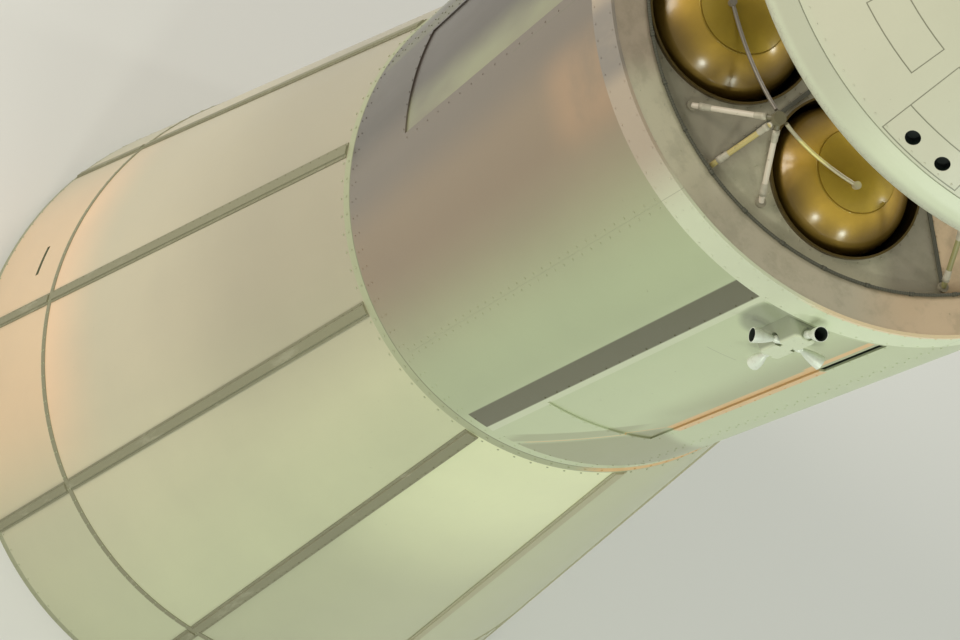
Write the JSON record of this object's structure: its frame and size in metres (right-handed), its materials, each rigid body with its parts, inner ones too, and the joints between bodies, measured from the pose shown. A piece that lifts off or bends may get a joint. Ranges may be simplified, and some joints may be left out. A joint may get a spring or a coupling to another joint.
{
  "type": "space capsule with service module and adapter",
  "caption": "Conical crew capsule drawn clear of its drum-shaped service module, on the tapered adapter that carries both.",
  "frame": {"origin": "centre of the adapter's aft ring, on the face it stands on", "axes": "+Z forward along the vehicle's axis, from the adapter to the capsule's tunnel; +X towards the side that the picture shows"},
  "size_m": [6.6, 6.6, 17.585],
  "materials": {
    "adapter_white": "gloss paint",
    "seam_cover": "dull paint",
    "ring_paint": "satin paint",
    "bay_paint": "gloss paint",
    "rim_white": "satin paint",
    "deck_grey": "matt paint",
    "dark_strip": "dull",
    "tank_gold": "polished",
    "pipe_metal": "satin",
    "strut_white": "satin paint",
    "housing_paint": "satin paint",
    "nozzle_white": "satin",
    "bare_structure": "satin",
    "bell_metal": "heat stained",
    "capsule_white": "gloss paint",
    "window_glass": "clear",
    "cabin_grey": "matt paint",
    "couch_fabric": "woven"
  },
  "bodies": {
    "service_stack": {"adapter_aft_ring": "ring_paint", "adapter_aft_skin": "adapter_white", "adapter_forward_ring": "ring_paint", "adapter_forward_skin": "adapter_white", "adapter_seam_covers": "seam_cover", "adapter_split_band": "seam_cover", "aft_deck": "bare_structure", "bay_panel_1": "bay_paint", "bay_panel_2": "bay_paint", "bay_panel_3": "bay_paint", "bay_panel_4": "bay_paint", "bay_panel_5": "bay_paint", "bay_panel_6": "bay_paint", "beam_caps": "dark_strip", "engine_mount": "bare_structure", "forward_deck": "deck_grey", "fuel_tank_far": "tank_gold", "fuel_tank_near": "tank_gold", "harness_ring": "dark_strip", "module_base_ring": "bay_paint", "oxidiser_tank_far": "tank_gold", "oxidiser_tank_near": "tank_gold", "rim_band": "rim_white", "strut_set_1": "strut_white", "strut_set_2": "strut_white", "strut_set_3": "strut_white", "strut_set_4": "strut_white", "strut_set_5": "strut_white", "strut_set_6": "strut_white", "tank_caps": "tank_gold", "tank_lips": "tank_gold", "tank_pipes": "pipe_metal", "thruster_housing_1": "housing_paint", "thruster_housing_2": "housing_paint", "thruster_housing_3": "housing_paint", "thruster_housing_4": "housing_paint", "thruster_nozzles_1": "nozzle_white", "thruster_nozzles_2": "nozzle_white", "thruster_nozzles_3": "nozzle_white", "thruster_nozzles_4": "nozzle_white", "thruster_panels": "bay_paint"},
    "capsule": {"heat_shield": "capsule_white", "cabin_shell": "capsule_white", "apex_cover": "capsule_white", "hatch_hinge": "bare_structure", "window_panes": "window_glass", "cabin_floor": "cabin_grey", "cabin_roof": "cabin_grey", "docking_tunnel": "bare_structure", "tunnel_hatch": "cabin_grey", "crew_couches": "couch_fabric", "couch_frame": "bare_structure", "instrument_panel": "cabin_grey"},
    "hatch": {"side_hatch": "capsule_white", "hatch_pane": "window_glass"},
    "gimbal": {"gimbal_ring": "bare_structure"},
    "bell": {"engine_bell": "bell_metal"}
  },
  "joints": [
    {"name": "capsule_slide", "type": "slide", "parent": "service_stack", "child": "capsule", "axis": [0, 0, 1], "range_m": [-1.085, 0]},
    {"name": "hatch_hinge_turn", "type": "hinge", "parent": "capsule", "child": "hatch", "pos_m": [1.21699, 0.88367, 15.90289], "axis": [0.3391, 0.4225, -0.8406], "range_deg": [0, 100]},
    {"name": "engine_pitch", "type": "hinge", "parent": "service_stack", "child": "gimbal", "pos_m": [0, 0, 8.2], "axis": [0, 1, 0], "range_deg": [-6, 6]},
    {"name": "engine_yaw", "type": "hinge", "parent": "gimbal", "child": "bell", "pos_m": [0, 0, 8.2], "axis": [1, 0, 0], "range_deg": [-7, 7]}
  ]
}
